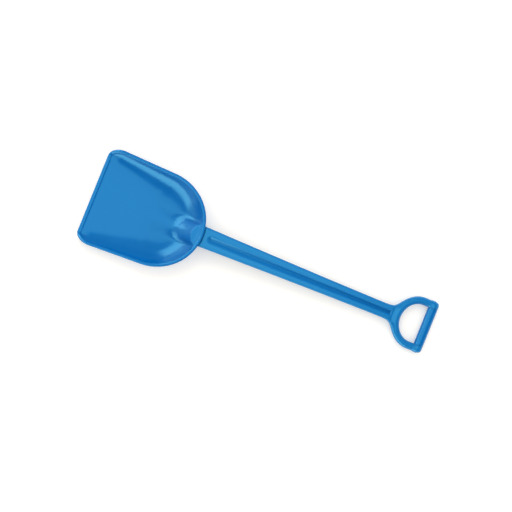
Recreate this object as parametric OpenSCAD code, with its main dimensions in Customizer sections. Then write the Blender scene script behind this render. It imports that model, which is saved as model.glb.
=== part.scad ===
// Child's sand shovel, lying on its heel and its grip as it would on a table.
// A scoop blade carries a moulded socket. The handle plugs into it with a tang that snaps home,
// and its grooved shaft opens into a D-shaped yoke. A round bar is sprung in across the D.
// X runs from the blade's front lip to the grip, Z is up.

/* [Overall] */
// Length from the front lip to the outside of the grip bar
overall_len = 550; // [500:1:620]

/* [Blade] */
// Length of the blade from its front lip to the back of its rim
blade_len = 181; // [165:0.5:205]
// Width of the blade at its front corners
blade_w = 152.4; // [146:0.1:175]
// Width of the blade where its sides run into the round back
waist_w = 145.6; // [125:0.1:150]
// Length of the round back, from the end of the straight sides to the rim
back_len = 76.5; // [68:0.5:85]
// Length of the rounding of each front corner, along the side
corner_len = 24; // [20:0.5:28]
// Width of the rounding of each front corner, along the lip
corner_w = 15; // [12:0.5:18]
// How far the rim rises round each front corner
corner_lift = 9; // [7:0.5:11]
// Wall thickness of the pan
pan_wall = 2.6; // [2:0.1:3.2]
// Height of the front lip above the table
lip_z = 10.5; // [8:0.5:14]
// Height of the rim above the table at the neck
neck_rim_z = 38; // [34:0.5:44]
// Depth of the pan right behind the front lip
lip_depth = 0.5; // [0.4:0.1:1.5]
// Distance from the back of the rim to the front of the flat heel
heel_back = 68.5; // [62:0.5:75]
// Width of the rounded bead along the rim
bead_w = 4; // [3:0.1:5]
// Height of the bead's rounding
bead_h = 2; // [1.5:0.1:2.5]

/* [Socket] */
// Length of the flat facet on top of the socket at rim level
facet_len = 13.4; // [10:0.1:16]
// Length of the socket inside the pan, from its nose to the back of the rim
socket_len = 65; // [62:0.5:68]
// Rise of the rounded top over the socket's straight sides
crown_h = 8.5; // [7:0.1:10]
// Wall thickness of the socket
socket_wall = 2.8; // [2.2:0.1:3.2]
// Drop from the bead's crest to the facet
facet_drop = 1.2; // [0.8:0.1:1.6]
// How far the socket's mouth stands out behind the rim
mouth_back = 1.4; // [1:0.1:2]
// Length of the tang that fills the socket
tang_len = 28; // [24:0.5:29]
// Distance from the socket's nose to the hollow under it
hollow_lead = 16; // [15:0.5:20]

/* [Shaft] */
// Width of the shaft at the neck
neck_w = 32; // [28:0.5:36]
// Width of the shaft where it reaches the grip
fork_w = 22.6; // [20:0.1:26]
// Height of the shaft at the neck
neck_h = 21; // [18:0.5:23]
// Height of the shaft where it reaches the grip
fork_h = 13; // [11:0.1:14]
// Drop from the rim's crest to the top of the shaft
seam_drop = 3.7; // [3.4:0.1:5]
// Depth of the seam between the rim and the shaft, below the shaft's top
seam_depth = 2.5; // [1.5:0.1:3.5]
// Rounding of the shaft's long upper edges
rail_r = 3; // [2:0.1:4]
// Wall thickness of the shaft
shaft_wall = 2.4; // [2:0.1:2.8]
// Number of open bays between the cross ribs on the shaft's back
bay_count = 8; // [5:1:11]
// Thickness of each cross rib
rib_t = 2; // [1.6:0.1:3]

/* [Groove] */
// Distance from the neck to the round start of the groove
groove_lead = 7.5; // [6:0.5:12]
// Width of the groove at its round start
groove_start_w = 10.8; // [8:0.1:12]
// Width of the groove at its square end
groove_end_w = 6.7; // [5:0.1:8]
// Depth of the groove at its round start
groove_start_d = 8; // [5:0.5:10]
// Depth of the groove at its square end
groove_end_d = 4.5; // [3:0.1:6]
// Distance from the groove's square end to the grip's opening
groove_tail = 16.6; // [14:0.1:22]

/* [Grip] */
// Diameter of the grip bar
bar_d = 14.8; // [13:0.1:17]
// Length of the grip bar that shows between the arms
bar_len = 60; // [56:0.5:66]
// Diameter of the bar's end spigots
spigot_d = 8.6; // [7:0.1:10]
// Length of each spigot
spigot_len = 5; // [4:0.1:6]
// Width across the two flats that key each spigot
spigot_key = 6.4; // [5:0.1:7.5]
// Width of the grip over its two arms
grip_w = 82.3; // [78:0.1:90]
// Length of the grip's opening from the bar to the shaft
opening_len = 33.2; // [30:0.1:38]
// Distance from the outside of the bar to where the arms start to curve
arm_straight = 22.7; // [20:0.1:26]
// Width of each arm seen from above
arm_w = 11.8; // [10:0.1:13]
// Height of each arm
arm_h = 12.8; // [11:0.1:14]
// Rounding of the grip's outer corners
grip_corner_r = 6.8; // [5:0.1:7]
// Radius of the fillets between the shaft and the arms
fork_r = 15; // [12:0.5:20]

/* [Hidden] */
blue = "#2b86c8";

// Clearance between pieces that fit together
fit_clear = 0.15;
// Overrun of a cut past the face that it opens
overrun = 1;
// Length and height of the tang's snap barb
barb_len = 6;
barb_h = 2;
// Width of the barb
barb_w = 12;
// Ramp that ends the groove
groove_ramp = 1.5;

// How straight the floor runs from the lip to the heel
floor_power = 1.35;
// How late the rim rises from the sides to the neck
rim_power = 2.2;
// How quickly the shaft slims behind the neck
taper_power = 1.5;
// Run of the pan's wall over its depth, at the sides and at the back
side_run_share = 1.5;
back_run_share = 1.23;
// Place of the wall's control point across its run
draft_share = 0.35;
// Height of the bead over the pan's depth where the pan is shallow
bead_depth_share = 0.6;
// Drop of the bead's underside over its rounding
bead_under_share = 0.6;
// Place of the socket's foot within the pan's wall, and of its edge above the foot
foot_share = 0.4;
foot_edge_share = 0.12;
// How straight the socket's crest rises, from 0 for a full curve
crest_lead = 0.55;
// Most that the crown may take of the tang's height
crown_share = 0.8;
// Width of the groove's floor over its mouth
groove_floor_share = 0.25;
// Thickness of the web in the fork over the arms
web_share = 0.8;
// Place of the barb along the tang, from the mouth
barb_place_share = 0.45;

// Steps of the curves
corner_steps = 8;
side_steps = 9;
back_steps = 13;
wall_steps = 8;
bead_steps = 6;
nose_steps = 6;
crown_steps = 12;
shaft_steps = 14;
rail_steps = 4;
groove_steps = 8;
arm_steps = 30;
arm_sides = 16;
fork_steps = 8;
$fn = 64;

// Blade, derived. X is measured from the lip here.
heel_x = blade_len - heel_back;
back_x = blade_len - back_len;
corner_y = blade_w / 2 - corner_w;
side_tilt = atan((blade_w - waist_w) / 2 / (back_x - corner_len));
corner_end = 90 - atan(corner_len / corner_w * tan(side_tilt));
back_start = atan(back_len / (waist_w / 2) * tan(side_tilt));
bead_r = bead_w / 2;

// Handle, derived
bar_r = bar_d / 2;
bar_x = overall_len - bar_r;
mouth_x = blade_len + mouth_back;
shaft_x = mouth_x + fit_clear;
neck_top_z = neck_rim_z - seam_drop;
neck_mid_z = neck_top_z - neck_h / 2;
arm_y = (grip_w - arm_w) / 2;
ring_x = overall_len - arm_straight;
ring_a = opening_len + bar_d - arm_straight + arm_w / 2;
fork_x = ring_x - ring_a;
groove_x = blade_len + groove_lead;
groove_end_x = fork_x + arm_w / 2 - groove_tail;

// Socket, derived
facet_x = blade_len - bead_w - facet_len;
sleeve_z = neck_top_z - neck_h;
ledge_z = neck_top_z - seam_depth;
tang_inset = socket_wall + fit_clear;
tang_x = mouth_x - tang_len;

function lerp(a, b, t) = a + (b - a) * t;
function clamp01(t) = min(1, max(0, t));
function unit(v) = v / norm(v);

// Height of the rim and of the pan's floor at a distance from the lip
function rim_z(x) =
    lerp(lip_z + corner_lift, neck_rim_z, pow(max(0, x / blade_len), rim_power))
    - corner_lift * pow(max(0, 1 - x / corner_len), 2);
function floor_z(x) =
    pan_wall + (lip_z - lip_depth - pan_wall) * pow(max(0, 1 - x / heel_x), floor_power);

// Height of the handle's middle line, and the shaft's width and height
function axis_z(x) = lerp(neck_mid_z, bar_r, (x - mouth_x) / (bar_x - mouth_x));
function along_shaft(x) = clamp01((x - mouth_x) / (fork_x - mouth_x));
function shaft_w(x) = fork_w + (neck_w - fork_w) * pow(1 - along_shaft(x), taper_power);
function shaft_h(x) = lerp(neck_h, fork_h, along_shaft(x));
function shaft_top(x) = axis_z(x) + shaft_h(x) / 2;
function shaft_bottom(x) = axis_z(x) - shaft_h(x) / 2;

// Skin of a loft: rings of equal length, closed round, with a cap of triangles at each end
function ring_faces(rings, n) = [
    for (r = [0:rings - 2], i = [0:n - 1])
        let (j = (i + 1) % n, a = r * n, b = a + n)
            each [[a + i, b + i, b + j], [a + i, b + j, a + j]]
];
function fan(n, first) = [for (i = [1:n - 2]) [first, first + i, first + i + 1]];
function strip(n, first) = [
    for (i = [0:n / 2 - 2])
        let (a = first + i, b = first + n - 1 - i)
            each [[a, a + 1, b - 1], [a, b - 1, b]]
];
function flipped(faces) = [for (f = faces) [f[0], f[2], f[1]]];

module loft(sections) {
    n = len(sections[0]);
    m = len(sections);
    polyhedron(
        [for (s = sections) each s],
        concat(ring_faces(m, n), fan(n, 0), flipped(fan(n, (m - 1) * n))));
}

// Rim outline of one half: x, y, inward normal and run of the wall over its depth
corner_line = [
    for (i = [0:corner_steps])
        let (
            a = lerp(180, corner_end, i / corner_steps),
            n = unit([cos(a) / corner_len, sin(a) / corner_w]))
            [corner_len * (1 + cos(a)), corner_y + corner_w * sin(a), -n.x, -n.y, side_run_share]
];
back_line = [
    for (i = [0:back_steps])
        let (
            t = lerp(back_start, 90, i / (back_steps + 0.5)),
            n = unit([sin(t) / back_len, 2 * cos(t) / waist_w]))
            [
                back_x + back_len * sin(t), waist_w / 2 * cos(t), -n.x, -n.y,
                lerp(side_run_share, back_run_share, sin(t))
            ]
];
side_line = [
    for (i = [1:side_steps - 1])
        lerp(corner_line[corner_steps], back_line[0], i / side_steps)
];
half_rim = concat(corner_line, side_line, back_line);
rim = concat(
    half_rim,
    [
        for (i = [len(half_rim) - 1:-1:0])
            let (p = half_rim[i])
                [p[0], -p[1], p[2], -p[3], p[4]]
    ]);

// Wall section at a point of the rim, as distance inward and height: floor, wall, bead, outside
function bezier(p, t) = p[0] * (1 - t) * (1 - t) + p[1] * 2 * t * (1 - t) + p[2] * t * t;
function bezier_outward(p, t) =
    let (v = unit((p[1] - p[0]) * (1 - t) + (p[2] - p[1]) * t))
        [-v.y, v.x];
function wall_curve(p) =
    let (
        depth = rim_z(p[0]) - floor_z(p[0]),
        run = bead_w + depth * p[4],
        draft = bead_w + (run - bead_w) * draft_share,
        rise = min(bead_h, depth * bead_depth_share))
        [
            [run, floor_z(p[0] + p[2] * run)],
            [draft, floor_z(p[0] + p[2] * draft)],
            [bead_w, rim_z(p[0]) - rise]
        ];
function wall_section(p) =
    let (c = wall_curve(p), rise = rim_z(p[0]) - c[2].y)
        concat(
            [for (k = [0:wall_steps]) bezier(c, k / wall_steps)],
            [
                for (k = [1:bead_steps])
                    let (a = 180 * k / bead_steps)
                        [bead_r * (1 + cos(a)), c[2].y + rise * sin(a)]
            ],
            [[0, c[2].y - rise * bead_under_share]],
            [
                for (k = [wall_steps:-1:0])
                    bezier(c, k / wall_steps) + pan_wall * bezier_outward(c, k / wall_steps)
            ]);

module pan() {
    sections = [for (p = rim) wall_section(p)];
    n = len(rim);
    m = len(sections[0]);
    points = [
        for (k = [0:m - 1], i = [0:n - 1])
            let (p = rim[i], s = sections[i][k])
                [p[0] + p[2] * s.x, p[1] + p[3] * s.x, s.y]
    ];
    polyhedron(points, concat(ring_faces(m, n), strip(n, 0), flipped(strip(n, (m - 1) * n))));
}

// Height of the pan's wall on the middle line, behind the heel
back_curve = wall_curve([blade_len, 0, -1, 0, back_run_share]);
function back_wall_z(x) =
    let (
        d = min(blade_len - x, back_curve[0].x),
        a = back_curve[0].x - 2 * back_curve[1].x + back_curve[2].x,
        b = 2 * (back_curve[1].x - back_curve[0].x),
        t = clamp01((-b - sqrt(b * b - 4 * a * (back_curve[0].x - d))) / (2 * a)))
        bezier(back_curve, t).y;

// The socket's crest, and a section with straight sides and a rounded crown
socket_x = blade_len - socket_len;
crest_run = facet_x - socket_x;
crest_h = rim_z(facet_x) - facet_drop - pan_wall;
crest_steepest = atan(crest_h / crest_run * (2 - crest_lead));
function crest_z(x) =
    let (u = (x - socket_x) / crest_run)
        pan_wall + crest_h * (crest_lead * u + (1 - crest_lead) * u * u);
function crowned_section(x, half, foot, top, crown, low = 0) = concat(
    [[x, half * cos(low), foot]],
    [
        for (k = [0:crown_steps])
            let (a = lerp(low, 180 - low, k / crown_steps))
                [x, half * cos(a), top - crown + crown * sin(a)]
    ],
    [[x, -half * cos(low), foot]]);

// The socket inside the pan: its crest rises out of the floor, and its sides stand straight behind that
side_x = socket_x + crest_run / 2;
function socket_section(x) =
    let (
        foot = min(sleeve_z, back_wall_z(x) - foot_share * pan_wall),
        shown = crest_z(x) - foot - foot_edge_share * pan_wall)
        crowned_section(
            x, neck_w / 2, foot, crest_z(x), crown_h, asin(clamp01(1 - shown / crown_h)));
module socket_form() loft(concat(
    [
        for (k = [0:nose_steps - 1])
            socket_section(lerp(socket_x, side_x, k / nose_steps))
    ],
    [
        for (k = [0:nose_steps])
            socket_section(lerp(side_x, mouth_x, k / nose_steps))
    ]));

// The tang's form inside the socket, or the room for it
function tang_section(x, inset) =
    let (
        foot = sleeve_z + inset,
        top = crest_z(x) - inset / cos(crest_steepest),
        crown = min(crown_h, crown_share * (top - foot)))
        crowned_section(x, neck_w / 2 - inset, foot, top, crown);
module tang_form(inset, front_x, end_x) loft([
    for (k = [0:nose_steps])
        tang_section(lerp(front_x, end_x, k / nose_steps), inset)
]);

// Everything below the facet, and below the ledge that the socket's mouth leaves behind the rim
module under_rim() {
    x = [socket_x - overrun, blade_len - bead_r, mouth_x + 2 * overrun];
    rotate([90, 0, 0])
        linear_extrude(neck_w + 2 * overrun, center = true)
            polygon([
                [x[0], -overrun], [x[2], -overrun], [x[2], ledge_z], [x[1], ledge_z],
                [x[1], rim_z(x[1]) - facet_drop], [facet_x, crest_z(facet_x)], [x[0], crest_z(facet_x)]
            ]);
}
module socket_solid() intersection() {
    socket_form();
    under_rim();
}
module tang_room(inset, front_x, end_x) intersection() {
    tang_form(inset, front_x, end_x);
    translate([front_x - overrun, -neck_w / 2, 0])
        cube([end_x - front_x + 2 * overrun, neck_w, ledge_z - inset]);
}

// Hollow under the socket, open below, that leaves a wall round the tang
module socket_hollow() {
    x = [socket_x + hollow_lead, mouth_x - socket_wall];
    difference() {
        loft([
            for (k = [0:nose_steps])
                let (at = lerp(x[0], x[1], k / nose_steps))
                    crowned_section(
                        at, neck_w / 2 - socket_wall, -crown_h,
                        crest_z(at) - socket_wall / cos(crest_steepest), crown_h)
        ]);
        translate([tang_x - fit_clear - socket_wall, -neck_w / 2, sleeve_z])
            cube([tang_len + socket_wall, neck_w, neck_rim_z]);
    }
}

// The tang's snap barb, ramped on the side that goes in first
barb_x = mouth_x - tang_len * barb_place_share;
module barb() {
    root = sleeve_z + tang_inset + overrun;
    tip = sleeve_z + tang_inset - barb_h;
    rotate([90, 0, 0])
        linear_extrude(barb_w, center = true)
            polygon([[barb_x - barb_len, root], [barb_x, root], [barb_x, tip]]);
}
// The window in the socket's floor that the barb snaps into
module barb_window() {
    size = [barb_len, barb_w] + 2 * fit_clear * [1, 1];
    translate([barb_x - barb_len - fit_clear, -size.y / 2, sleeve_z - overrun])
        cube([size.x, size.y, socket_wall + 2 * overrun]);
}

module blade() color(blue) translate([-overall_len / 2, 0, 0]) difference() {
    union() {
        pan();
        socket_solid();
    }
    tang_room(socket_wall, tang_x - fit_clear, mouth_x + overrun);
    socket_hollow();
    barb_window();
}

// Shaft, a tapering bar with rounded upper edges
function shaft_section(x) =
    let (half = shaft_w(x) / 2, top = shaft_top(x), bottom = shaft_bottom(x))
        concat(
            [[x, half, bottom]],
            [
                for (k = [0:rail_steps])
                    let (a = 90 * k / rail_steps)
                        [x, half - rail_r + rail_r * cos(a), top - rail_r + rail_r * sin(a)]
            ],
            [
                for (k = [rail_steps:-1:0])
                    let (a = 90 * k / rail_steps)
                        [x, rail_r - half - rail_r * cos(a), top - rail_r + rail_r * sin(a)]
            ],
            [[x, -half, bottom]]);
module shaft() loft([
    for (k = [0:shaft_steps])
        shaft_section(lerp(shaft_x, fork_x, k / shaft_steps))
]);

// Groove along the top of the shaft: half width and depth, then its cut
function along_groove(x) = clamp01((x - groove_x) / (groove_end_x - groove_x));
function groove_half(x) = lerp(groove_start_w, groove_end_w, along_groove(x)) / 2;
function groove_depth(x) = lerp(groove_start_d, groove_end_d, along_groove(x));
function groove_section(x, half, depth) =
    let (top = shaft_top(x), flare = 1 + overrun / depth * (1 - groove_floor_share))
        [
            [x, half * groove_floor_share, top - depth],
            [x, half * flare, top + overrun],
            [x, -half * flare, top + overrun],
            [x, -half * groove_floor_share, top - depth]
        ];
module groove() {
    start_r = groove_start_w / 2;
    loft(concat(
        [
            for (k = [1:groove_steps])
                let (a = 90 * k / groove_steps, x = groove_x + start_r * (1 - cos(a)))
                    groove_section(x, groove_half(x) * sin(a), groove_depth(x))
        ],
        [
            for (k = [1:groove_steps])
                let (x = lerp(groove_x + start_r, groove_end_x - groove_ramp, k / groove_steps))
                    groove_section(x, groove_half(x), groove_depth(x))
        ],
        [groove_section(groove_end_x, groove_half(groove_end_x), groove_end_d - groove_ramp)]));
}

// Open bays between the cross ribs on the back of the shaft
bays_x = groove_x;
bays_end_x = groove_end_x - groove_ramp;
bay_pitch = (bays_end_x - bays_x + rib_t) / bay_count;
function core_half(x) = shaft_w(x) / 2 - shaft_wall;
function core_mid_z(x) = shaft_top(x) - groove_depth(x) - shaft_wall;
function core_top_z(x) = shaft_top(x) - shaft_wall;
module tapered_box(x, y_low, y_high, z_low, z_high) loft([
    for (k = [0, 1])
        [
            [x[k], y_high[k], z_low[k]], [x[k], y_high[k], z_high[k]],
            [x[k], y_low[k], z_high[k]], [x[k], y_low[k], z_low[k]]
        ]
]);
module bays() for (k = [0:bay_count - 1]) {
    x0 = bays_x + k * bay_pitch;
    x = [x0, x0 + bay_pitch - rib_t];
    half = [for (v = x) core_half(v)];
    inner = [for (v = x) groove_half(v) + shaft_wall];
    low = [for (v = x) shaft_bottom(v) - overrun];
    mid = [for (v = x) core_mid_z(v)];
    top = [for (v = x) core_top_z(v)];
    tapered_box(x, -half, half, low, mid);
    tapered_box(x, inner, half, low, top);
    tapered_box(x, -half, -inner, low, top);
}

// Yoke: one rounded arm swept round the opening, from knuckle to knuckle
function yoke_point(t) =
    let (a = lerp(-90, 90, t))
        [ring_x - ring_a * cos(a), arm_y * sin(a)];
function yoke_across(t) =
    let (a = lerp(-90, 90, t))
        unit([-cos(a) / ring_a, sin(a) / arm_y]);
function arm_ring(p, across) = [
    for (k = [0:arm_sides - 1])
        let (a = 360 * k / arm_sides, d = arm_w / 2 * cos(a))
            [p.x + across.x * d, p.y + across.y * d, axis_z(p.x) + arm_h / 2 * sin(a)]
];
module yoke() loft(concat(
    [arm_ring([bar_x, -arm_y], [0, -1])],
    [
        for (k = [0:arm_steps])
            arm_ring(yoke_point(k / arm_steps), yoke_across(k / arm_steps))
    ],
    [arm_ring([bar_x, arm_y], [0, 1])]));

// Web that fillets the shaft into the arms
module fork() {
    reach = [ring_a, arm_y] + (arm_w / 2 + fork_r) * [1, 1];
    y = fork_w / 2 + fork_r;
    a = asin(y / reach.y);
    x = ring_x - reach.x * cos(a);
    edge = concat(
        [
            for (k = [0:fork_steps])
                let (b = lerp(-90, -a, k / fork_steps))
                    [x + fork_r * cos(b), y + fork_r * sin(b)]
        ],
        [[ring_x - ring_a * cos(a), arm_y * sin(a)]]);
    web_h = arm_h * web_share;
    translate([0, 0, axis_z(fork_x) - web_h / 2])
        linear_extrude(web_h)
            polygon(concat(
                edge,
                [[fork_x, 0]],
                [for (k = [len(edge) - 1:-1:0]) [edge[k].x, -edge[k].y]]));
}

// Knuckle at the end of an arm, turned about the bar's axis, and the pocket in it
module along_bar() translate([bar_x, 0, bar_r]) rotate([-90, 0, 0]) children();
module knuckle() along_bar() rotate_extrude() union() {
    translate([0, bar_len / 2])
        square([bar_r, (grip_w - bar_len) / 2 - grip_corner_r]);
    translate([0, grip_w / 2 - grip_corner_r])
        square([bar_r - grip_corner_r, grip_corner_r]);
    intersection() {
        translate([bar_r - grip_corner_r, grip_w / 2 - grip_corner_r])
            circle(grip_corner_r);
        translate([bar_r - grip_corner_r, grip_w / 2 - grip_corner_r])
            square(grip_corner_r);
    }
}
module spigot(clear, from) along_bar() intersection() {
    translate([0, 0, from])
        cylinder(d = spigot_d + 2 * clear, h = bar_len / 2 + spigot_len + clear - from);
    translate([-bar_d / 2, -spigot_key / 2 - clear, 0])
        cube([bar_d, spigot_key + 2 * clear, grip_w / 2]);
}
module both_ends() {
    children();
    mirror([0, 1, 0])
        children();
}
// Space between the arms that the bar fills
module bar_room() along_bar()
    cylinder(d = bar_d + 2 * overrun, h = bar_len, center = true);

module handle() color(blue) translate([-overall_len / 2, 0, 0]) difference() {
    union() {
        shaft();
        tang_room(tang_inset, tang_x, shaft_x + overrun);
        barb();
        fork();
        difference() {
            union() {
                yoke();
                both_ends() knuckle();
            }
            bar_room();
        }
    }
    groove();
    bays();
    both_ends() spigot(fit_clear, bar_len / 2 - overrun);
}

module grip_bar() color(blue) translate([-overall_len / 2, 0, 0]) union() {
    along_bar()
        cylinder(d = bar_d, h = bar_len - 2 * fit_clear, center = true);
    both_ends() spigot(0, 0);
}

blade();
handle();
grip_bar();
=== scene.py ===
"""Child's moulded sand shovel: blade, handle and grip bar in satin blue plastic, with a small studio."""

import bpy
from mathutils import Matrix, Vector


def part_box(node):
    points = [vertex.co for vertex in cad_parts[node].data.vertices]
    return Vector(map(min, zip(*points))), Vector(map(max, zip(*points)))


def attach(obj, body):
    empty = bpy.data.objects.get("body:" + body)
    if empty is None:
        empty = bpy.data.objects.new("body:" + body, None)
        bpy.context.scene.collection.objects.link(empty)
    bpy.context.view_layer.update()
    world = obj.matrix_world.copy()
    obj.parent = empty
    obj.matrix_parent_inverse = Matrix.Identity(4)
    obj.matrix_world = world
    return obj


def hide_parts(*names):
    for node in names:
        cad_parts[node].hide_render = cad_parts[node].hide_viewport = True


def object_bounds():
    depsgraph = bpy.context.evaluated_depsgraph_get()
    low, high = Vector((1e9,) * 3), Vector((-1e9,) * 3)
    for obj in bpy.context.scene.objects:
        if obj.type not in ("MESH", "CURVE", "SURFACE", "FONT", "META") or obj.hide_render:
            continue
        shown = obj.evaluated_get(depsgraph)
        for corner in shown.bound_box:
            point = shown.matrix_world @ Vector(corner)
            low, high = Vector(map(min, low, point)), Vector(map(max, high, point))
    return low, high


bl_info = {
    "name": "Sand Shovel",
    "version": (1, 0, 0),
    "blender": (4, 5, 0),
    "location": "View3D > Sidebar > Shovel",
    "description": "A child's sand shovel moulded in satin plastic, and the studio that shows it",
    "category": "Add Mesh",
}

import math

import bpy
import numpy as np
from bpy.props import FloatProperty, FloatVectorProperty, IntProperty, PointerProperty
from mathutils import Matrix, Vector

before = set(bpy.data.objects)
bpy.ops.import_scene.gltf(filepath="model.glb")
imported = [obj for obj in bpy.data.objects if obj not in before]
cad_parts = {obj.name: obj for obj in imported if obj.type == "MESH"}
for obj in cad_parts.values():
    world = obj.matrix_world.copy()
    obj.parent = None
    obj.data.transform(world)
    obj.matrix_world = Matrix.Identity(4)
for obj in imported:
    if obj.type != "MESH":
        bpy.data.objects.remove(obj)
CAD_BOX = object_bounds()
BLADE_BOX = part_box("blade")
HANDLE_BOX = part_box("handle")
BAR_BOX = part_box("grip_bar")
LIP_X = BLADE_BOX[0][0]


def length(name, description, default):
    """A size in metres."""
    return FloatProperty(
        name=name, description=description, default=default, min=0.0, unit="LENGTH", precision=4)


def share(name, description, default):
    """A number from 0 to 1."""
    return FloatProperty(
        name=name, description=description, default=default, min=0.0, max=1.0, subtype="FACTOR", precision=3)


def angle(name, description, degrees):
    """An angle, kept in radians."""
    return FloatProperty(name=name, description=description, default=math.radians(degrees), subtype="ANGLE")


def number(name, description, default):
    """A plain number."""
    return FloatProperty(name=name, description=description, default=default, precision=3)


def paint(name, description, default):
    """A colour as linear red, green and blue."""
    return FloatVectorProperty(
        name=name, description=description, default=default, min=0.0, max=1.0, subtype="COLOR", size=3)


class BladeSizes(bpy.types.PropertyGroup):
    """Sizes of the scoop and of the socket moulded into it. X runs back from the front lip."""

    length: length("Length", "From the front lip to the back of the rim", 0.181)
    width: length("Width", "Over the front corners", BLADE_BOX[1][1] - BLADE_BOX[0][1])
    waist: length("Waist", "Width where the sides run into the round back", 0.1456)
    back: length("Round back", "Length of the round back", 0.0765)
    corner: length("Front corner", "Length of the rounding of each front corner", 0.024)
    corner_width: length("Corner width", "Width of that rounding", 0.015)
    corner_lift: length("Corner lift", "How far the rim rises round each front corner", 0.009)
    wall: length("Wall", "Thickness of the pan", 0.0026)
    lip_z: length("Lip height", "Height of the front lip above the table", 0.0105)
    rim_z: length("Rim height", "Height of the rim at the neck", BLADE_BOX[1][2])
    lip_depth: length("Lip depth", "Depth of the pan right behind the lip", 0.0005)
    heel: length("Heel", "From the back of the rim to the front of the flat heel", 0.0685)
    bead: length("Bead", "Width of the rounded bead along the rim", 0.005)
    bead_rise: length("Bead rise", "Height of the bead over the wall", 0.002)
    side_run: number("Side run", "Run of the wall over its depth at the sides", 2.2)
    back_run: number("Back run", "Run of the wall over its depth at the back", 1.5)
    draft: share("Wall curve", "Place of the wall's control point across its run", 0.28)
    rim_power: number("Rim curve", "How late the rim rises from the sides to the neck", 2.2)
    floor_power: number("Floor curve", "How straight the floor runs down from the lip", 1.35)
    socket_width: length("Socket width", "Width of the socket at its foot", 0.032)
    socket_wall: length("Socket wall", "Thickness of the socket", 0.0028)
    socket: length("Socket", "Length of the socket from its nose to the back of the rim", 0.073)
    nose_width: length("Nose width", "Width of the socket where it rises out of the pan", 0.037)
    flank: number("Flank", "Slope of the socket's flanks at its sides", 0.88)
    shoulder: length("Shoulder", "Rounding between the socket's flanks and its sides", 0.006)
    foot_blend: length("Foot rounding", "Fillet between the socket and the pan", 0.007)
    facet: length("Facet", "Length of the flat on top of the socket", 0.0134)
    facet_drop: length("Facet drop", "From the bead's crest down to the facet", 0.0012)
    mouth: length("Mouth", "How far the socket's mouth stands out behind the rim", 0.0014)
    ledge_z: length("Ledge height", "Height of the mouth's ledge behind the rim", 0.0318)
    sleeve_z: length("Sleeve height", "Height of the socket's underside", 0.0133)
    tang: length("Tang room", "Length of the room for the handle's tang", 0.02815)
    window: length("Window", "Length of the window for the tang's snap barb", 0.0063)
    window_width: length("Window width", "Width of that window", 0.0123)


class HandleSizes(bpy.types.PropertyGroup):
    """Sizes of the shaft, its groove and the D-shaped yoke. X runs back from the blade's front lip."""

    start: length("Start", "From the front lip to the shaft's shoulder", 0.18255)
    neck_width: length("Neck width", "Width of the shaft at the neck", 0.032)
    fork_width: length("Fork width", "Width of the shaft at the grip", 0.0226)
    neck_height: length("Neck height", "Height of the shaft at the neck", 0.021)
    fork_height: length("Fork height", "Height of the shaft at the grip", 0.013)
    neck_top: length("Neck top", "Height of the shaft's top at the neck", 0.0343)
    seam: length("Seam", "Width of the seam between the rim and the shaft's top", 0.0007)
    taper: number("Taper", "How quickly the shaft slims behind the neck", 1.5)
    rail: length("Rail rounding", "Rounding of the shaft's long upper edges", 0.0034)
    wall: length("Wall", "Thickness of the shaft's walls", 0.0024)
    bays: IntProperty(name="Bays", description="Open bays on the shaft's back", default=8, min=1)
    rib: length("Rib", "Thickness of the ribs between the bays", 0.002)
    groove_start: length("Groove start", "From the front lip to the groove's round start", 0.1885)
    groove_end: length("Groove end", "From the front lip to the groove's square end", 0.4854)
    groove_start_width: length("Groove start width", "Width of the groove at its start", 0.0106)
    groove_end_width: length("Groove end width", "Width of the groove at its end", 0.0072)
    groove_start_depth: length("Groove start depth", "Depth of the groove at its start", 0.0036)
    groove_end_depth: length("Groove end depth", "Depth of the groove at its end", 0.005)
    ring_center: length("Ring centre", "From the front lip to the middle of the yoke's ellipse", 0.5273)
    ring_x: length("Ring length", "Half length of the yoke's ellipse", 0.0312)
    ring_y: length("Ring width", "Half width of the yoke's ellipse", 0.03525)
    arm_width: length("Arm width", "Width of each arm", 0.0118)
    arm_height: length("Arm height", "Height of each arm", 0.0128)
    fork_blend: length("Fork fillet", "Fillet between the shaft and the arms", 0.028)
    valley: length("Valley", "Depth of the dip between the groove and the opening", 0.0016)
    knuckle: length("Knuckle", "Rounding of the grip's outer corners", 0.0068)


class GripBarSizes(bpy.types.PropertyGroup):
    """Sizes of the round bar across the D."""

    diameter: length("Diameter", "Diameter of the bar", 0.0148)
    length: length("Length", "Length of the bar that shows", 0.0597)
    edge: length("Edge", "Rounding of the bar's ends", 0.0006)
    spigot: length("Spigot", "Diameter of the spigots", 0.0086)
    spigot_length: length("Spigot length", "Length of each spigot", 0.005)
    key: length("Key", "Width across the spigots' flats", 0.0064)
    clearance: length("Clearance", "Clearance round the spigots", 0.00015)


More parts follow.
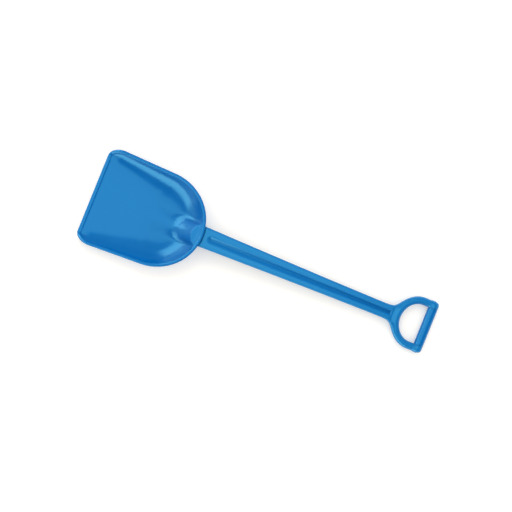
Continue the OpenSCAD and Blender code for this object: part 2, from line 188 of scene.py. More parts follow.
class PlasticFinish(bpy.types.PropertyGroup):
    """Colour and surface of the moulded plastic."""

    blue: paint("Blue", "Colour of the blade's and the bar's plastic", (0.0, 0.137, 0.455))
    # The handle is given a paler, greener blue than the blade and the bar.
    handle_blue: paint("Handle blue", "Colour of the handle's plastic, a little paler", (0.006, 0.174, 0.488))
    worn: number("Worn", "How much paler the plastic is where an edge is rubbed", 1.12)
    sheen: paint("Sheen", "Tint of the reflections", (0.22, 0.9, 1.0))
    roughness: share("Roughness", "Mean roughness of the moulded skin", 0.22)
    grain: length("Grain", "Size of the moulded grain", 0.0005)
    grain_depth: length("Grain depth", "Height of the moulded grain", 0.000012)
    cloud: length("Cloud", "Size of the slow changes in colour and gloss", 0.045)
    cloud_gloss: share("Cloud gloss", "How much the gloss changes over the clouds", 0.1)
    drag: length("Drag lines", "Width of the faint lines along the shovel", 0.0012)
    drag_stretch: share("Drag stretch", "Width of a drag line over its length", 0.05)
    drag_gloss: share("Drag gloss", "How much the gloss changes over the drag lines", 0.06)
    drag_height: share("Drag height", "Height of the drag lines over the grain", 0.5)
    rub: length("Rub", "Size of the rubbed patches along edges", 0.004)
    rub_color: share("Rub colour", "How far rubbed edges turn to the worn colour", 0.5)
    rub_gloss: share("Rub gloss", "How much rougher rubbed edges are", 0.12)
    ior: number("IOR", "Index of refraction of the plastic", 1.72)
    mesh_step: length("Mesh step", "Distance between the points of the moulded skins", 0.001)


class StudioSettings(bpy.types.PropertyGroup):
    """Camera and lights."""

    distance: length("Distance", "From the camera to the middle of the view", 1.515)
    lens: number("Lens", "Focal length in millimetres on a 36 mm sensor", 70.97)
    tilt: angle("Tilt", "Lean of the view from straight down", 0.5)
    turn: angle("Turn", "Turn of the shovel in the picture, from level", 22.016)
    aim: FloatVectorProperty(
        name="Aim", description="Middle of the view", subtype="XYZ", unit="LENGTH", size=3,
        default=(-0.0101, 0.0034, 0.020))
    key: number("Key", "Power of the key softbox in watts", 36.0)
    fill: number("Fill", "Power of the fill softbox in watts", 22.0)
    top: number("Top", "Power of the overhead softbox in watts", 29.0)
    front: number("Front", "Power of the dim softbox ahead of the lip in watts", 3.0)
    side: number("Side", "Power of the softbox that casts the shadows in watts", 9.0)
    sky: number("Sky", "Strength of the light from all round", 0.98)
    gloom: number("Gloom", "Strength of that light in reflections", 0.05)
    horizon: number("Horizon", "How much stronger it is in reflections of the horizon", 0.6)
    table: number("Table", "Strength of the light through the paper from below", 0.23)


class ShovelSettings(bpy.types.PropertyGroup):
    """All settings of the shovel."""

    blade: PointerProperty(type=BladeSizes)
    handle: PointerProperty(type=HandleSizes)
    bar: PointerProperty(type=GripBarSizes)
    finish: PointerProperty(type=PlasticFinish)
    studio: PointerProperty(type=StudioSettings)


TINY = 1e-9             # keeps a division from zero
SLOPE_STEP = 0.0002     # distance over which the pan's slope is taken
FLAT_BEND = 0.1         # least share of an ellipse's bend in the search for its nearest point
LEAST_SLOPE = 0.25      # least squared slope in the search for a skin
SETTLE_SHARE = 0.05     # distance over which a skin's slope is taken, over the mesh step
EDGE_REACH = 0.0008     # how far an edge is felt for wear
CLOUD_TINTS = (0.95, 1.05)              # deepest and palest colour of the clouds, over the plastic's own
WHITE = (1.0, 1.0, 1.0, 1.0)
PAPER_COLOR = (0.98, 0.92, 0.83, 1.0)
PAPER_TOOTH = 0.002     # size of the paper's tooth
PAPER_RELIEF = 0.0001   # height of the paper's tooth
PAPER_HALF = 6.0        # half the width of the sheet
PAPER_GAP = 0.0002      # from the shovel's lowest point down to the paper
HORIZON_FADE = 4.0      # how quickly the sky's reflection dims above the horizon
SENSOR = 36.0           # width of the camera's sensor in millimetres
SOFTBOXES = (           # name, width and height, azimuth, elevation, distance, seen in reflections only
    ("key", (2.8, 1.1), 250.0, 20.5, 2.0, True),
    ("fill", (1.7, 1.1), 158.0, 20.5, 2.0, True),
    ("top", (1.75, 3.6), 180.0, 70.0, 2.5, True),
    ("front", (1.2, 1.1), 198.0, 20.5, 2.0, True),
    ("side", (1.2, 1.2), 112.0, 48.0, 2.2, False),
)


def lerp(a, b, t):
    """From a at 0 to b at 1."""
    return a + (b - a) * t


def smooth_max(a, b, blend):
    """The larger of two distances, with the edge where they meet rounded over a length."""
    mix = np.clip(0.5 + 0.5 * (a - b) / blend, 0.0, 1.0)
    return lerp(b, a, mix) + blend * mix * (1.0 - mix)


def smooth_min(a, b, blend):
    """The smaller of two distances, with the corner where they meet filleted over a length."""
    return -smooth_max(-a, -b, blend)


def smooth_step(low, high, value):
    """Rises from 0 at low to 1 at high."""
    t = np.clip((value - low) / (high - low), 0.0, 1.0)
    return t * t * (3.0 - 2.0 * t)


def ellipse_gap(x, y, half_x, half_y):
    """Distance from an ellipse about the origin, below zero inside, and close to true near its edge."""
    near = np.hypot(x / half_x, y / half_y) + TINY
    slope = np.hypot(x / half_x ** 2, y / half_y ** 2) + TINY / half_x
    return near * (near - 1.0) / slope


def ellipse_angle(x, y, half_x, half_y, rounds=4):
    """Angle from +Y towards +X of the point on an ellipse that is nearest to x, y."""
    t = np.arctan2(x / half_x, y / half_y)
    for _ in range(rounds):
        s, c = np.sin(t), np.cos(t)
        off_x, off_y = half_x * s - x, half_y * c - y
        pull = off_x * half_x * c - off_y * half_y * s
        bend = (half_x * c) ** 2 + (half_y * s) ** 2 - off_x * half_x * s - off_y * half_y * c
        t = t - pull / np.maximum(bend, FLAT_BEND * half_x * half_y)
    return t


class BladeForm:
    """The blade as the distance from its skin, below zero inside the plastic. X runs back from the lip."""

    RISE_SHARE = 0.6        # bead rise over the pan's depth, where the pan is shallow
    BEAD_SHARE = 0.8        # half height of the bead over its rise
    BEAD_INSET = 0.0012     # how far the bead overhangs the wall
    EDGE = 0.001            # small moulded rounding
    BEAD_BLEND = 0.0015     # fillet between the bead and the wall
    WALL_END = 1.25         # how far the wall's curve runs on under the bead
    DEEP = 0.006            # depth of the pan from which the wall's curve runs on so far
    NOSE_CROWN = 0.55       # how much the socket's roof is curved across at its nose, over its mouth
    NARROWING = (0.8, 0.88) # where the socket narrows to the tang's sleeve, over the blade's length
    WINDOW_BACK = 0.01245   # from the socket's mouth to the back of the snap window

    def __init__(self, sizes):
        self.s = sizes
        self.heel_x = sizes.length - sizes.heel
        self.back_x = sizes.length - sizes.back
        self.corner_y = sizes.width / 2 - sizes.corner_width
        self.tilt = math.atan((sizes.width - sizes.waist) / 2 / (self.back_x - sizes.corner))
        self.corner_end = math.atan(sizes.corner / sizes.corner_width * math.tan(self.tilt))
        self.back_start = math.atan(sizes.back / (sizes.waist / 2) * math.tan(self.tilt))
        self.socket_x = sizes.length - sizes.socket
        self.facet_x = sizes.length - sizes.bead - sizes.facet
        self.mouth_x = sizes.length + sizes.mouth
        self.crown_x = self.mouth_x - sizes.tang

    def rim(self, x):
        """Height of the rim."""
        s = self.s
        dip = s.corner_lift * np.maximum(0.0, 1.0 - x / s.corner) ** 2
        rise = np.maximum(0.0, x / s.length) ** s.rim_power
        return lerp(s.lip_z + s.corner_lift, s.rim_z, rise) - dip

    def floor(self, x):
        """Height of the pan's floor."""
        s = self.s
        drop = s.lip_z - s.lip_depth - s.wall
        return s.wall + drop * np.maximum(0.0, 1.0 - x / self.heel_x) ** s.floor_power

    def back_rim(self, y):
        """X of the outline's round back."""
        s = self.s
        return self.back_x + s.back * np.sqrt(np.maximum(0.0, 1.0 - (2.0 * y / s.waist) ** 2))

    def crest(self, x):
        """Height of the socket's crest, and its slope."""
        s = self.s
        rise = self.rim(self.facet_x) - s.facet_drop - s.wall
        run = self.facet_x - self.socket_x
        u = np.maximum((x - self.socket_x) / run, -1.0)
        return s.wall + rise * u * np.abs(u), 2.0 * rise / run * np.abs(u)

    def outline(self, x, y):
        """The nearest point of each stretch of the rim.

        Yields the distance in from it, its x, how far inwards leans to +X there, and its share of the back.
        """
        s = self.s
        y = np.abs(y)
        side = np.array([math.sin(self.tilt), math.cos(self.tilt)])
        side_from = np.array([
            s.corner * (1.0 + math.sin(self.corner_end)),
            self.corner_y + s.corner_width * math.cos(self.corner_end)])
        side_to = np.array([
            self.back_x + s.back * math.sin(self.back_start), s.waist / 2 * math.cos(self.back_start)])
        side_way = side_to - side_from
        along = ((x - side_from[0]) * side_way[0] + (y - side_from[1]) * side_way[1]) / (side_way @ side_way)
        along = np.clip(along, 0.0, 1.0)
        turn = ellipse_angle(x - s.corner, y - self.corner_y, s.corner, s.corner_width)
        turn = np.clip(turn, -math.pi / 2, self.corner_end)
        turn_n = np.array([np.sin(turn) / s.corner, np.cos(turn) / s.corner_width])
        turn_n = turn_n / np.hypot(*turn_n)
        back = ellipse_angle(x - self.back_x, y, s.back, s.waist / 2)
        back = np.clip(back, self.back_start, math.pi / 2)
        back_n = np.array([np.sin(back) / s.back, np.cos(back) / (s.waist / 2)])
        back_n = back_n / np.hypot(*back_n)
        stretches = (
            (0.0 * x, np.minimum(y, self.corner_y), 1.0, 0.0, 0.0),
            (
                s.corner * (1.0 + np.sin(turn)), self.corner_y + s.corner_width * np.cos(turn),
                -turn_n[0], -turn_n[1], 0.0),
            (
                side_from[0] + along * side_way[0], side_from[1] + along * side_way[1],
                -side[0], -side[1], 0.0),
            (
                self.back_x + s.back * np.sin(back), s.waist / 2 * np.cos(back),
                -back_n[0], -back_n[1], np.sin(back)),
        )
        for rim_x, rim_y, lean_x, lean_y, back_share in stretches:
            gap = np.hypot(x - rim_x, y - rim_y)
            inside = (x - rim_x) * lean_x + (y - rim_y) * lean_y >= 0.0
            yield np.where(inside, gap, -gap), rim_x, lean_x, back_share

    def wall(self, inward, rim_x, lean, back_share, rise):
        """Height of the pan's wall over the floor below it."""
        s = self.s
        depth = self.rim(rim_x) - self.floor(rim_x)
        run = s.bead + depth * lerp(s.side_run, s.back_run, back_share)
        draft = lerp(s.bead, run, s.draft)
        bend = run - 2.0 * draft + s.bead
        reach = run - draft
        root = np.sqrt(np.maximum(reach ** 2 - bend * (run - inward), 0.0))
        t = np.clip((reach - root) / bend, 0.0, lerp(1.0, self.WALL_END, np.minimum(depth / self.DEEP, 1.0)))
        foot = self.floor(rim_x + lean * run)
        knee = self.floor(rim_x + lean * draft)
        height = foot * (1.0 - t) ** 2 + 2.0 * knee * t * (1.0 - t) + (self.rim(rim_x) - rise) * t * t
        return np.where(inward > run, 0.0, height - self.floor(rim_x + lean * inward))

    def surface(self, x, y):
        """Height of the pan's upper surface, with the distance in, the rim's height and the bead's rise."""
        inward, rim, rise = np.inf, 0.0, 0.0
        wall = 0.0
        for gap, rim_x, lean, back_share in self.outline(x, y):
            rim_here = self.rim(rim_x)
            rise_here = np.minimum(self.s.bead_rise, self.RISE_SHARE * (rim_here - self.floor(rim_x)))
            wall = np.maximum(wall, self.wall(gap, rim_x, lean, back_share, rise_here))
            closer = np.abs(gap) < np.abs(inward)
            inward = np.where(closer, gap, inward)
            rim = np.where(closer, rim_here, rim)
            rise = np.where(closer, rise_here, rise)
        return self.floor(x) + wall, inward, rim, rise

    def above_pan(self, x, y, z):
        """Distance above the pan's upper surface, with the rest of what surface gives."""
        height, inward, rim, rise = self.surface(x, y)
        h = SLOPE_STEP
        slope_x = (self.surface(x + h, y)[0] - self.surface(x - h, y)[0]) / (2.0 * h)
        slope_y = (self.surface(x, y + h)[0] - self.surface(x, y - h)[0]) / (2.0 * h)
        return (z - height) / np.sqrt(1.0 + slope_x ** 2 + slope_y ** 2), inward, rim, rise

    def arch(self, x, y, z):
        """The socket's sides and its curved roof, whose crest rises out of the floor."""
        s = self.s
        crest, slope = self.crest(x)
        crown = lerp(self.NOSE_CROWN, 1.0, smooth_step(self.socket_x, self.crown_x, x))
        fall = crown * s.flank * y / (s.socket_width / 2)
        roof = (z - crest + fall * y / 2) / np.sqrt(1.0 + slope ** 2 + fall ** 2)
        half = lerp(s.nose_width, s.socket_width, smooth_step(*self.NARROWING, x / s.length)) / 2
        return smooth_max(roof, np.abs(y) - half, s.shoulder)

    def socket(self, x, arch, z):
        """The arch, cut off by the flat facet inside the rim and by the mouth's ledge behind it."""
        s = self.s
        top = np.where(x > s.length - s.bead / 2, s.ledge_z, self.rim(x) - s.facet_drop)
        return smooth_max(arch, z - top, self.EDGE)

    def tang_room(self, x, arch, z, inset, clearance):
        """The space inside the socket's walls, or the tang that fills it."""
        front_x = self.mouth_x - self.s.tang + clearance
        across = np.maximum(arch + inset, z - (self.s.ledge_z - inset))
        return np.maximum(across, np.maximum(front_x - x, self.s.sleeve_z + inset - z))

    def hollow(self, x, arch, z):
        """The space under the socket, open below, that leaves a wall round the tang."""
        s = self.s
        tang_wall = np.maximum(self.mouth_x - s.tang - s.socket_wall - x, s.sleeve_z - z)
        return np.maximum(np.maximum(arch + s.socket_wall, -tang_wall), x - (self.mouth_x - s.socket_wall))

    def window(self, x, y, z):
        """The window in the socket's floor that the tang's barb snaps into."""
        s = self.s
        back_x = self.mouth_x - self.WINDOW_BACK
        across = np.maximum(np.abs(y) - s.window_width / 2, np.abs(x - back_x + s.window / 2) - s.window / 2)
        middle = s.sleeve_z + s.socket_wall / 2
        return np.maximum(across, np.abs(z - middle) - s.socket_wall)

    def skin(self, x, y, z):
        s = self.s
        above, inward, rim, rise = self.above_pan(x, y, z)
        arch = self.arch(x, y, z)
        socket = self.socket(x, arch, z)
        shell = np.maximum(smooth_min(above, socket, s.foot_blend), -above - s.wall)
        shell = smooth_max(shell, self.BEAD_INSET - inward, self.EDGE)
        shell = np.maximum(shell, z - (rim - rise))
        bead_half = self.BEAD_SHARE * rise
        bead = ellipse_gap(inward - s.bead / 2, z - (rim - bead_half), s.bead / 2, bead_half)
        sleeve = smooth_max(socket, s.sleeve_z - z, self.EDGE)
        sleeve = smooth_max(sleeve, x - self.mouth_x, self.EDGE / 2)
        body = smooth_min(smooth_min(shell, bead, self.BEAD_BLEND), sleeve, self.EDGE)
        room = self.tang_room(x, arch, z, s.socket_wall, 0.0)
        body = np.maximum(body, -np.minimum(room, self.window(x, y, z)))
        return smooth_max(body, -self.hollow(x, arch, z), self.EDGE)


class GripBarForm:
    """The bar across the D and its keyed spigots."""

    def __init__(self, sizes, axis_x):
        self.s = sizes
        self.axis_x = axis_x
        self.axis_z = sizes.diameter / 2

    def spigots(self, x, y, z, clearance):
        s = self.s
        turned = np.hypot(x - self.axis_x, z - self.axis_z) - s.spigot / 2
        keyed = np.maximum(turned, np.abs(z - self.axis_z) - s.key / 2)
        return np.maximum(keyed, np.abs(y) - s.length / 2 - s.spigot_length) - clearance

    def skin(self, x, y, z):
        s = self.s
        turned = np.hypot(x - self.axis_x, z - self.axis_z) - s.diameter / 2
        bar = smooth_max(turned, np.abs(y) - s.length / 2, s.edge)
        return np.minimum(bar, self.spigots(x, y, z, 0.0))


class HandleForm:
    """Tang, grooved shaft and D-shaped yoke as the distance from their skin. X runs back from the lip."""

    EDGE = 0.001            # small moulded rounding
    TANG_CLEARANCE = 0.00015
    BARB = (0.006, 0.012, 0.002)    # length, width and height of the snap barb
    WEB_SHARE = 0.8         # thickness of the fork's web over the arms
    GROOVE_END_LEAN = 0.6   # run of the groove's end over its depth
    GROOVE_FLOOR = 0.15     # width of the groove's floor over its mouth
    VALLEY_FROM = 0.0065    # the dip's place, out from the middle line of the yoke
    VALLEY_TO = 0.012
    ARM_BLEND = 0.005       # fillet between the shaft and the yoke
    KNUCKLE_BLEND = 0.0025  # fillet between the arms and the knuckles

    def __init__(self, sizes, bar, blade):
        self.s = sizes
        self.bar = bar
        self.blade = blade
        self.fork_x = sizes.ring_center - sizes.ring_x
        self.groove_r = sizes.groove_start_width / 2

    def along(self, x):
        return np.clip((x - self.s.start) / (self.fork_x - self.s.start), 0.0, 1.0)

    def axis(self, x):
        neck_mid = self.s.neck_top - self.s.neck_height / 2
        return lerp(neck_mid, self.bar.axis_z, (x - self.s.start) / (self.bar.axis_x - self.s.start))

    def half_width(self, x):
        s = self.s
        return (s.fork_width + (s.neck_width - s.fork_width) * (1.0 - self.along(x)) ** s.taper) / 2

    def half_height(self, x):
        return lerp(self.s.neck_height, self.s.fork_height, self.along(x)) / 2

    def along_groove(self, x):
        s = self.s
        return np.clip((x - s.groove_start) / (s.groove_end - s.groove_start), 0.0, 1.0)

    def groove_half(self, x):
        return lerp(self.s.groove_start_width, self.s.groove_end_width, self.along_groove(x)) / 2

    def groove_depth(self, x):
        return lerp(self.s.groove_start_depth, self.s.groove_end_depth, self.along_groove(x))

    def outward(self, x, y):
        """Distance out from the middle line of the yoke, below zero towards the opening."""
        s = self.s
        y = np.abs(y)
        ahead = s.ring_center - x
        t = np.clip(ellipse_angle(ahead, y, s.ring_x, s.ring_y), 0.0, math.pi / 2)
        gap = np.hypot(ahead - s.ring_x * np.sin(t), y - s.ring_y * np.cos(t))
        outside = (ahead / s.ring_x) ** 2 + (y / s.ring_y) ** 2 > 1.0
        return np.where(ahead > 0.0, np.where(outside, gap, -gap), y - s.ring_y)

    def shaft(self, x, y, z, outward):
        s = self.s
        dip = s.valley * (1.0 - smooth_step(self.VALLEY_FROM, self.VALLEY_TO, outward))
        over = z - self.axis(x)
        rails = smooth_max(np.abs(y) - self.half_width(x), over - self.half_height(x) + dip, s.rail)
        bar = smooth_max(rails, -over - self.half_height(x), self.EDGE)
        lip = np.maximum(self.blade.back_rim(y) + s.seam - x, self.blade.s.ledge_z + self.TANG_CLEARANCE - z)
        front = np.minimum(s.start - x, lip)
        return smooth_max(bar, np.maximum(front, x - self.fork_x), self.EDGE / 2)

    def tang(self, x, y, z):
        blade = self.blade
        inset = blade.s.socket_wall + self.TANG_CLEARANCE
        room = blade.tang_room(x, blade.arch(x, y, z), z, inset, self.TANG_CLEARANCE)
        form = np.maximum(room, x - self.s.start - self.EDGE)
        barb_len, barb_w, barb_h = self.BARB
        barb_x = blade.mouth_x - blade.WINDOW_BACK - self.TANG_CLEARANCE
        root = blade.s.sleeve_z + inset
        ramp = root - (x - barb_x + barb_len) * barb_h / barb_len - z
        block = np.maximum(np.abs(y) - barb_w / 2, z - root - self.EDGE)
        barb = np.maximum(np.maximum(ramp, x - barb_x), block)
        return np.minimum(form, barb)

    def yoke(self, x, y, z, outward):
        """The two arms round the opening, with the knuckles that hold the bar."""
        s = self.s
        arm = ellipse_gap(outward, z - self.axis(x), s.arm_width / 2, s.arm_height / 2)
        arm = np.maximum(arm, x - self.bar.axis_x)
        bar_r = self.bar.s.diameter / 2
        turned = np.hypot(x - self.bar.axis_x, z - self.bar.axis_z) - bar_r
        end = np.abs(y) - (s.ring_y + s.arm_width / 2)
        knuckle = smooth_max(turned, end, s.knuckle)
        knuckle = np.maximum(knuckle, self.bar.s.length / 2 - np.abs(y))
        return smooth_min(arm, knuckle, self.KNUCKLE_BLEND)

    def web(self, x, y, z, outward):
        """The fillets between the shaft and the arms."""
        s = self.s
        plan = smooth_min(
            np.maximum(np.abs(y) - s.fork_width / 2 + s.rail, x - self.fork_x),
            np.abs(outward) - s.arm_width / 2 + s.rail, s.fork_blend)
        plan = np.maximum(np.maximum(plan, -outward), np.maximum(s.start - x, x - s.ring_center))
        fade = 1.0 - smooth_step(s.fork_width / 2, s.fork_width / 2 + s.fork_blend, np.abs(y))
        half = self.WEB_SHARE * s.arm_height / 2 * fade
        return smooth_max(plan, np.abs(z - self.axis(x)) - half, s.rail)

    def groove(self, x, y, z):
        s = self.s
        depth = self.groove_depth(x)
        under = self.axis(x) + self.half_height(x) - z
        half = self.groove_half(x)
        flare = (1.0 - self.GROOVE_FLOOR) * half / depth
        across = np.hypot(np.maximum(s.groove_start + self.groove_r - x, 0.0), y)
        side = (across - half + flare * under) / np.sqrt(1.0 + flare ** 2)
        vee = smooth_max(side, under - depth, self.EDGE)
        return np.maximum(vee, x - s.groove_end + self.GROOVE_END_LEAN * under)

    def bays(self, x, y, z):
        """Open bays between the ribs on the back of the shaft."""
        s = self.s
        end = s.groove_end - self.EDGE
        pitch = (end - s.groove_start + s.rib) / s.bays
        bay = np.clip(np.floor((x - s.groove_start) / pitch), 0, s.bays - 1)
        local = x - s.groove_start - bay * pitch
        length_gap = np.maximum(-local, local - pitch + s.rib)
        top = self.axis(x) + self.half_height(x)
        side = np.abs(y) - self.half_width(x) + s.wall
        middle = z - (top - self.groove_depth(x) - s.wall)
        flank = np.maximum(z - (top - s.wall), self.groove_half(x) + s.wall - np.abs(y))
        room = smooth_max(side, np.minimum(middle, flank), self.EDGE)
        return smooth_max(room, length_gap, self.EDGE)

    def bar_room(self, x, y, z):
        s = self.bar.s
        turned = np.hypot(x - self.bar.axis_x, z - self.bar.axis_z) - s.diameter / 2 - self.EDGE
        return np.maximum(turned, np.abs(y) - s.length / 2 - s.clearance)

    def skin(self, x, y, z):
        outward = self.outward(x, y)
        stem = smooth_min(self.shaft(x, y, z, outward), self.web(x, y, z, outward), self.s.rail)
        body = smooth_min(stem, self.yoke(x, y, z, outward), self.ARM_BLEND)
        body = smooth_max(body, -self.groove(x, y, z), self.EDGE)
        body = smooth_max(body, -self.bays(x, y, z), self.EDGE / 2)
        body = np.maximum(body, -self.bar_room(x, y, z))
        body = np.maximum(body, -self.bar.spigots(x, y, z, self.bar.s.clearance))
        return np.minimum(body, self.tang(x, y, z))


def gradient(skin, points, h):
    """Slope of a distance at each point."""
    slope = np.empty_like(points)
    for axis, shift in enumerate(np.eye(3) * h):
        slope[:, axis] = (skin(*(points + shift).T) - skin(*(points - shift).T)) / (2.0 * h)
    return slope


def net(skin, low, high, step):
    """Points and quads of the surface where a distance is zero, one point in each cell that it crosses."""
    axes = [np.arange(a - 1.5 * step, b + 2.5 * step, step) for a, b in zip(low, high)]
    value = skin(*np.meshgrid(*axes, indexing="ij", sparse=True))
    cells = np.array(value.shape) - 1
    count = np.zeros(cells.prod())
    total = np.zeros((cells.prod(), 3))
    ways = np.eye(3, dtype=int)
    quads = []
    for axis in range(3):
        near = np.take(value, range(cells[axis]), axis)
        far = np.take(value, range(1, cells[axis] + 1), axis)
        edge = np.argwhere((near < 0.0) != (far < 0.0))
        a = near[tuple(edge.T)]
        b = far[tuple(edge.T)]
        crossing = edge + ways[axis] * (a / (a - b))[:, None]
        u, v = ways[(axis + 1) % 3], ways[(axis + 2) % 3]
        around = [np.ravel_multi_index((edge - shift).T, cells) for shift in (u + v, v, 0 * u, u)]
        for cell in around:
            count += np.bincount(cell, minlength=count.size)
            for k in range(3):
                total[:, k] += np.bincount(cell, weights=crossing[:, k], minlength=count.size)
        quad = np.stack(around, axis=1)
        quads.append(np.where((a < 0.0)[:, None], quad, quad[:, ::-1]))
    used = np.flatnonzero(count)
    index = np.full(count.size, -1)
    index[used] = np.arange(used.size)
    corner = np.array([line[0] for line in axes])
    return corner + step * total[used] / count[used, None], index[np.concatenate(quads)]


def settle(skin, points, step, rounds=4):
    """Moves the points of a net onto the surface, and returns them with their normals."""
    fine = step * SETTLE_SHARE
    for _ in range(rounds):
        slope = gradient(skin, points, fine)
        pull = skin(*points.T) / np.maximum((slope ** 2).sum(axis=1), LEAST_SLOPE)
        points = points - np.clip(pull[:, None] * slope, -step / 2.0, step / 2.0)
    slope = gradient(skin, points, fine)
    return points, slope / np.linalg.norm(slope, axis=1, keepdims=True)


def sharpness(skin, points, reach):
    """How sharply the skin bends outwards within a reach, from 0 on a flat or hollow face."""
    bend = -6.0 * skin(*points.T)
    for shift in np.eye(3) * reach:
        bend += skin(*(points + shift).T) + skin(*(points - shift).T)
    return np.clip(bend / reach, 0.0, 1.0)


def mould(name, skin, box, finish, node, slot, blue):
    """Makes a moulded piece from the distance from its skin, in place of its CAD node."""
    shift = np.array([LIP_X, 0.0, 0.0])
    step = finish.mesh_step
    points, quads = net(skin, np.array(box[0]) - shift, np.array(box[1]) - shift, step)
    if not len(quads):
        raise RuntimeError(f"{name} has no surface inside its box")
    points, normals = settle(skin, points, step)
    mesh = bpy.data.meshes.new(name)
    mesh.from_pydata((points + shift).tolist(), [], quads.tolist())
    mesh.polygons.foreach_set("use_smooth", np.ones(len(quads), dtype=bool))
    mesh.normals_split_custom_set_from_vertices(normals.tolist())
    edge = mesh.attributes.new("edge", "FLOAT", "POINT")
    edge.data.foreach_set("value", sharpness(skin, points, EDGE_REACH).astype(np.float32))
    mesh.materials.append(blue_plastic(finish, slot, blue))
    piece = bpy.data.objects.new(name, mesh)
    bpy.context.scene.collection.objects.link(piece)
    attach(piece, "root")
    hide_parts(node)


class Wire:
    """A shader socket that takes part in Python expressions."""

    def __init__(self, tree, socket=None):
        self.tree = tree
        self.socket = socket

    def node(self, kind, settings, sockets, output=None):
        """Adds a node, with its settings first and then the values or links of its sockets."""
        made = self.tree.nodes.new(kind)
        for name, value in settings.items():
            setattr(made, name, value)
        for name, value in sockets.items():
            if isinstance(value, Wire):
                self.tree.links.new(value.socket, made.inputs[name])
            else:
                made.inputs[name].default_value = value
        return Wire(self.tree, made.outputs[output] if output is not None else None)

    def maths(self, operation, a, b):
        return self.node("ShaderNodeMath", {"operation": operation}, {0: a, 1: b}, 0)

    def __add__(self, other):
        return self.maths("ADD", self, other)

    def __radd__(self, other):
        return self.maths("ADD", other, self)

    def __sub__(self, other):
        return self.maths("SUBTRACT", self, other)

    def __rsub__(self, other):
        return self.maths("SUBTRACT", other, self)

    def __mul__(self, other):
        return self.maths("MULTIPLY", self, other)

    def __rmul__(self, other):
        return self.maths("MULTIPLY", other, self)


def noise(start, place, size, detail):
    """Smooth noise from 0 to 1 whose features are about the given size."""
    sockets = {"Vector": place, "Scale": 1.0 / size, "Detail": detail, "Roughness": 0.5}
    return start.node("ShaderNodeTexNoise", {}, sockets, "Fac")


def mixed_color(start, factor, a, b):
    """One colour turning into another."""
    return start.node("ShaderNodeMix", {"data_type": "RGBA"}, {0: factor, 6: a, 7: b}, 2)


def tinted(color, factor):
    """A colour made paler or deeper, with full alpha."""
    return (*(min(1.0, factor * c) for c in color), 1.0)


def blue_plastic(finish, name, blue):
    """Satin moulded polypropylene: fine spark grain, slow changes in gloss, drag lines along the draw."""
    material = bpy.data.materials.new(name)
    material.use_nodes = True
    material.node_tree.nodes.clear()
    start = Wire(material.node_tree)
    place = start.node("ShaderNodeTexCoord", {}, {}, "Object")
    drawn = start.node(
        "ShaderNodeVectorMath", {"operation": "MULTIPLY"}, {0: place, 1: (finish.drag_stretch, 1.0, 1.0)}, 0)
    cloud = noise(start, place, finish.cloud, 2.0)
    grain = noise(start, place, finish.grain, 1.0)
    drag = noise(start, drawn, finish.drag, 2.0)
    edge = start.node("ShaderNodeAttribute", {"attribute_name": "edge"}, {}, "Fac")
    rubbed = edge * noise(start, place, finish.rub, 3.0)
    deep, pale = (tinted(blue, factor) for factor in CLOUD_TINTS)
    body = mixed_color(start, cloud, deep, pale)
    color = mixed_color(start, rubbed * finish.rub_color, body, tinted(blue, finish.worn))
    gloss = (cloud - 0.5) * finish.cloud_gloss + (drag - 0.5) * finish.drag_gloss
    roughness = gloss + rubbed * finish.rub_gloss + finish.roughness
    relief = {"Strength": 1.0, "Distance": finish.grain_depth, "Height": grain + drag * finish.drag_height}
    normal = start.node("ShaderNodeBump", {}, relief, "Normal")
    sockets = {
        "Base Color": color, "Roughness": roughness, "Normal": normal, "IOR": finish.ior,
        "Specular Tint": tinted(finish.sheen, 1.0)}
    skin = start.node("ShaderNodeBsdfPrincipled", {}, sockets, "BSDF")
    start.node("ShaderNodeOutputMaterial", {}, {"Surface": skin})
    return material


def floor_paper(glow):
    """Matt white paper with a faint tooth, lit a little from below."""
    material = bpy.data.materials.new("floor_paper")
    material.use_nodes = True
    material.node_tree.nodes.clear()
    start = Wire(material.node_tree)
    place = start.node("ShaderNodeTexCoord", {}, {}, "Object")
    relief = {"Strength": 0.2, "Distance": PAPER_RELIEF, "Height": noise(start, place, PAPER_TOOTH, 2.0)}
    normal = start.node("ShaderNodeBump", {}, relief, "Normal")
    sockets = {
        "Base Color": PAPER_COLOR, "Roughness": 0.9, "Specular IOR Level": 0.0, "Normal": normal,
        "Emission Color": WHITE, "Emission Strength": glow}
    skin = start.node("ShaderNodeBsdfPrincipled", {}, sockets, "BSDF")
    start.node("ShaderNodeOutputMaterial", {}, {"Surface": skin})
    return material


def lay_floor(glow):
    """A large sheet of pale paper under the shovel."""
    half = PAPER_HALF
    mesh = bpy.data.meshes.new("floor")
    corners = [(-half, -half, 0.0), (half, -half, 0.0), (half, half, 0.0), (-half, half, 0.0)]
    mesh.from_pydata(corners, [], [(0, 1, 2, 3)])
    mesh.materials.append(floor_paper(glow))
    floor = bpy.data.objects.new("floor", mesh)
    floor.location.z = CAD_BOX[0][2] - PAPER_GAP
    bpy.context.scene.collection.objects.link(floor)


def softbox(name, power, size, azimuth, elevation, distance, mirrored):
    """A soft light aimed at the middle of the shovel, seen in reflections only or lighting it only.

    Azimuth runs from +X towards +Y.
    """
    lamp = bpy.data.lights.new(name, "AREA")
    lamp.shape = "RECTANGLE"
    lamp.size, lamp.size_y = size
    lamp.energy = power
    light = bpy.data.objects.new(name, lamp)
    light.visible_diffuse = not mirrored
    light.visible_glossy = mirrored
    a, e = math.radians(azimuth), math.radians(elevation)
    way = Vector((math.cos(e) * math.cos(a), math.cos(e) * math.sin(a), math.sin(e)))
    light.location = way * distance
    light.rotation_euler = way.to_track_quat("Z", "Y").to_euler()
    bpy.context.scene.collection.objects.link(light)


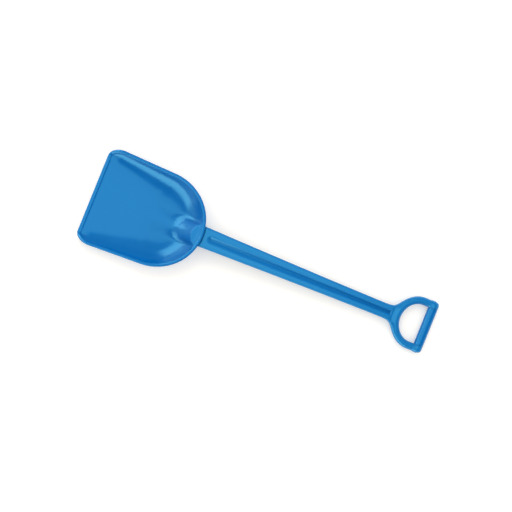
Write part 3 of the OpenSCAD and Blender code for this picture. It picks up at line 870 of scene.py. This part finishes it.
def studio_sky(studio):
    """Even light from all round, dimmer in reflections, and a white backdrop."""
    world = bpy.data.worlds.new("studio_sky")
    world.use_nodes = True
    world.node_tree.nodes.clear()
    start = Wire(world.node_tree)
    seen = start.node("ShaderNodeLightPath", {}, {}, "Is Camera Ray")
    mirrored = start.node("ShaderNodeLightPath", {}, {}, "Is Glossy Ray")
    way = start.node("ShaderNodeTexCoord", {}, {}, "Generated")
    height = start.node("ShaderNodeSeparateXYZ", {}, {"Vector": way}, "Z")
    low = start.maths("MAXIMUM", 1.0 - height * HORIZON_FADE, 0.0)
    dimmed = mirrored * (low * studio.horizon + studio.gloom - studio.sky)
    power = seen * (1.0 - studio.sky) + dimmed + studio.sky
    sky = start.node("ShaderNodeBackground", {}, {"Color": WHITE, "Strength": power}, 0)
    start.node("ShaderNodeOutputWorld", {}, {"Surface": sky})
    bpy.context.scene.world = world


def photo_camera(studio):
    """A long lens over the shovel, leaning a little from its lower side."""
    turn, tilt = studio.turn, studio.tilt
    up = Vector((-math.sin(turn), math.cos(turn), 0.0))
    right = Vector((math.cos(turn), math.sin(turn), 0.0))
    back = Vector((0.0, 0.0, 1.0)) * math.cos(tilt) - up * math.sin(tilt)
    rise = back.cross(right)
    data = bpy.data.cameras.new("photo_camera")
    data.lens = studio.lens
    data.sensor_width = SENSOR
    camera = bpy.data.objects.new("photo_camera", data)
    turned = Matrix((right, rise, back)).transposed()
    camera.matrix_world = Matrix.Translation(Vector(studio.aim) + back * studio.distance) @ turned.to_4x4()
    bpy.context.scene.collection.objects.link(camera)
    bpy.context.scene.camera = camera


class ShovelOperator:
    """Shared by the operators: settings and undo."""

    bl_options = {"REGISTER", "UNDO"}

    @property
    def settings(self):
        return bpy.context.scene.shovel


class SHOVEL_OT_blade(ShovelOperator, bpy.types.Operator):
    """Mould the scoop blade with its rim bead and socket"""

    bl_idname = "shovel.blade"
    bl_label = "Blade"

    def execute(self, context):
        finish = self.settings.finish
        form = BladeForm(self.settings.blade)
        mould("scoop_blade", form.skin, BLADE_BOX, finish, "blade", "blade_plastic", finish.blue)
        return {"FINISHED"}


class SHOVEL_OT_handle(ShovelOperator, bpy.types.Operator):
    """Mould the handle: tang, grooved shaft and D-shaped yoke"""

    bl_idname = "shovel.handle"
    bl_label = "Handle"

    def execute(self, context):
        settings = self.settings
        bar = GripBarForm(settings.bar, bar_axis_x())
        form = HandleForm(settings.handle, bar, BladeForm(settings.blade))
        finish = settings.finish
        mould("grooved_handle", form.skin, HANDLE_BOX, finish, "handle", "handle_plastic", finish.handle_blue)
        return {"FINISHED"}


class SHOVEL_OT_grip_bar(ShovelOperator, bpy.types.Operator):
    """Mould the round bar across the grip"""

    bl_idname = "shovel.grip_bar"
    bl_label = "Grip bar"

    def execute(self, context):
        finish = self.settings.finish
        form = GripBarForm(self.settings.bar, bar_axis_x())
        mould("round_grip_bar", form.skin, BAR_BOX, finish, "grip_bar", "bar_plastic", finish.blue)
        return {"FINISHED"}


class SHOVEL_OT_studio(ShovelOperator, bpy.types.Operator):
    """Set up the pale floor, the soft lights and the camera"""

    bl_idname = "shovel.studio"
    bl_label = "Studio"

    def execute(self, context):
        studio = self.settings.studio
        lay_floor(studio.table)
        for name, *place in SOFTBOXES:
            softbox(f"{name}_softbox", getattr(studio, name), *place)
        studio_sky(studio)
        photo_camera(studio)
        context.scene.view_settings.view_transform = "Standard"
        return {"FINISHED"}


class SHOVEL_PT_panel(bpy.types.Panel):
    """The shovel's pieces and the studio"""

    bl_label = "Sand Shovel"
    bl_space_type = "VIEW_3D"
    bl_region_type = "UI"
    bl_category = "Shovel"

    def draw(self, context):
        for operator in OPERATORS:
            self.layout.operator(operator.bl_idname)
        for name in ("blade", "handle", "bar", "finish", "studio"):
            group = getattr(context.scene.shovel, name)
            box = self.layout.box()
            for prop in group.__annotations__:
                box.prop(group, prop)


OPERATORS = (SHOVEL_OT_blade, SHOVEL_OT_handle, SHOVEL_OT_grip_bar, SHOVEL_OT_studio)
CLASSES = (
    BladeSizes, HandleSizes, GripBarSizes, PlasticFinish, StudioSettings, ShovelSettings,
    *OPERATORS, SHOVEL_PT_panel)


def bar_axis_x():
    """Distance from the front lip to the grip bar's axis."""
    return (BAR_BOX[0][0] + BAR_BOX[1][0]) / 2 - LIP_X


def register():
    for cls in CLASSES:
        bpy.utils.register_class(cls)
    bpy.types.Scene.shovel = PointerProperty(type=ShovelSettings)


def unregister():
    del bpy.types.Scene.shovel
    for cls in reversed(CLASSES):
        bpy.utils.unregister_class(cls)


def main():
    register()
    for operator in OPERATORS:
        family, name = operator.bl_idname.split(".")
        getattr(getattr(bpy.ops, family), name)()


if __name__ == "__main__":
    main()
